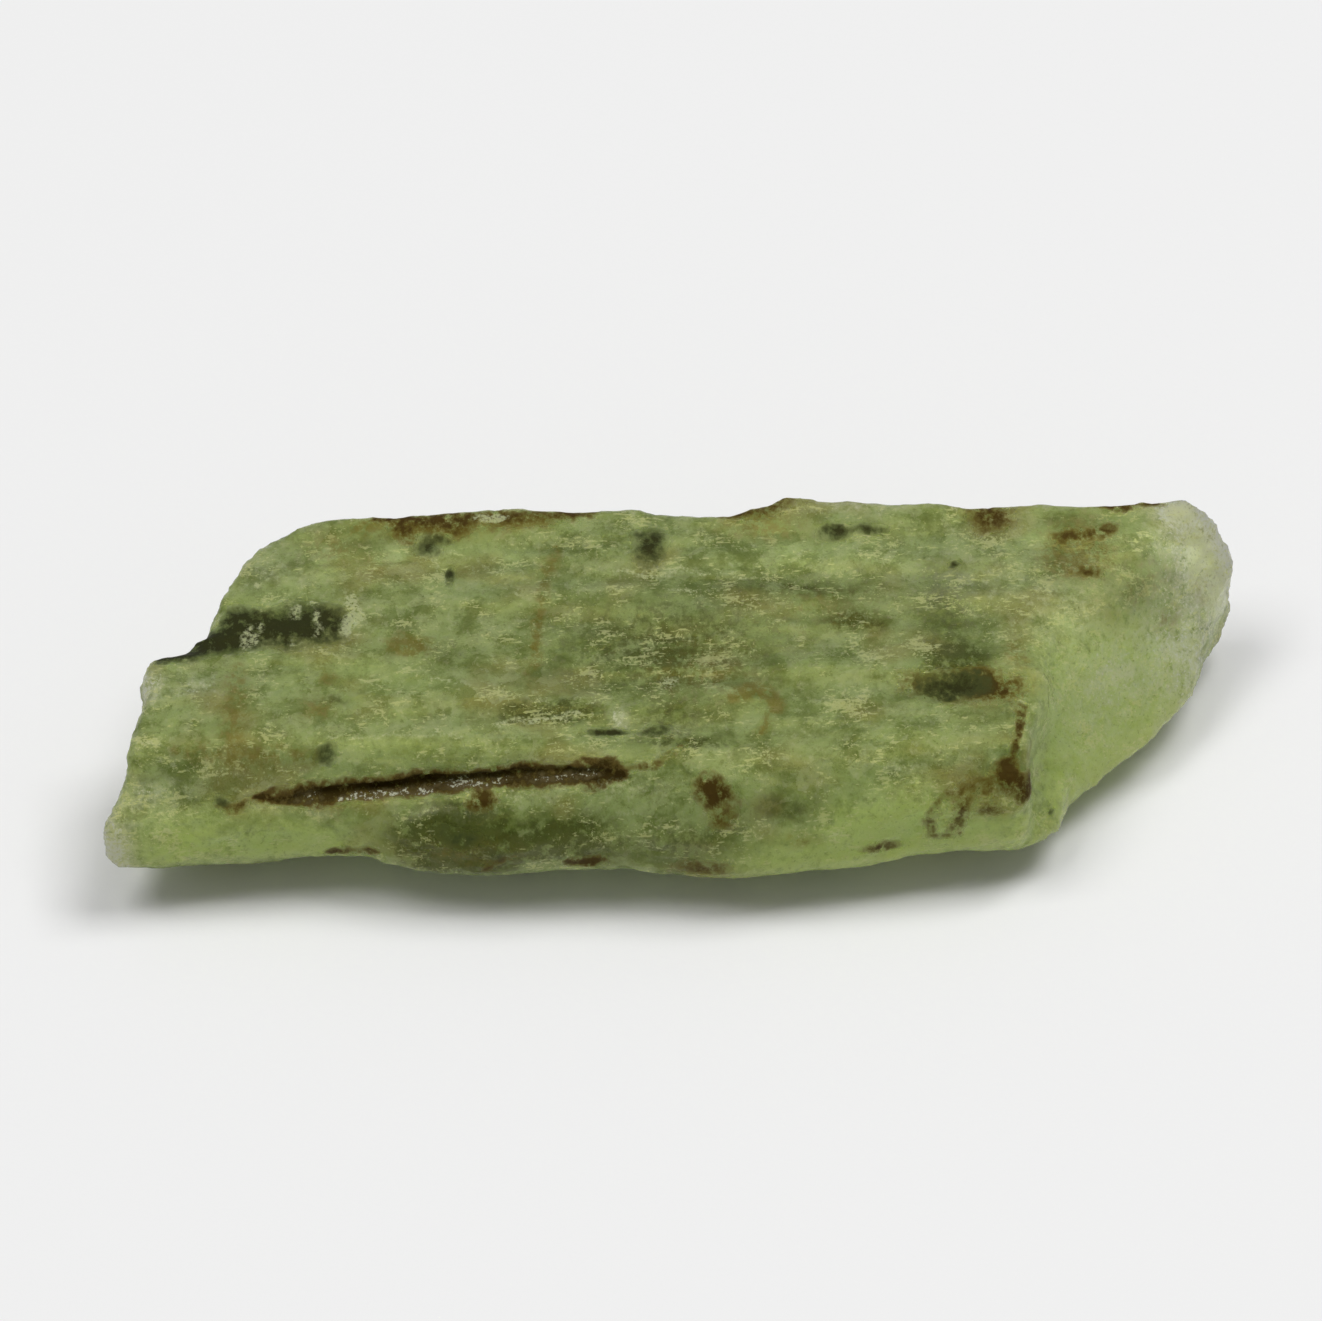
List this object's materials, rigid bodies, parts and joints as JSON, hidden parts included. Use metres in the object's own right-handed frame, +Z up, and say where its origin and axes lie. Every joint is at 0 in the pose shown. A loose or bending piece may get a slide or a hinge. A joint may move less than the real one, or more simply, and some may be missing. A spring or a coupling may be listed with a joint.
{
  "type": "rough kyanite crystal",
  "caption": "Rough bladed gem crystal, long and flat, with a striated top cleavage face, a cracked front ledge, broken ends and a flat face that it rests on.",
  "frame": {"origin": "bottom centre of the crystal's box, on the plane that it rests on", "axes": "+X along the blade towards its narrow pale tip, +Y towards its back edge, +Z up from the face that it rests on"},
  "size_m": [0.02, 0.0072, 0.0036],
  "materials": {
    "kyanite": "translucent yellow-green crystal with a finely striated, pearly surface and brown iron stains"
  },
  "bodies": {
    "root": {"kyanite_crystal": "kyanite"}
  },
  "joints": []
}
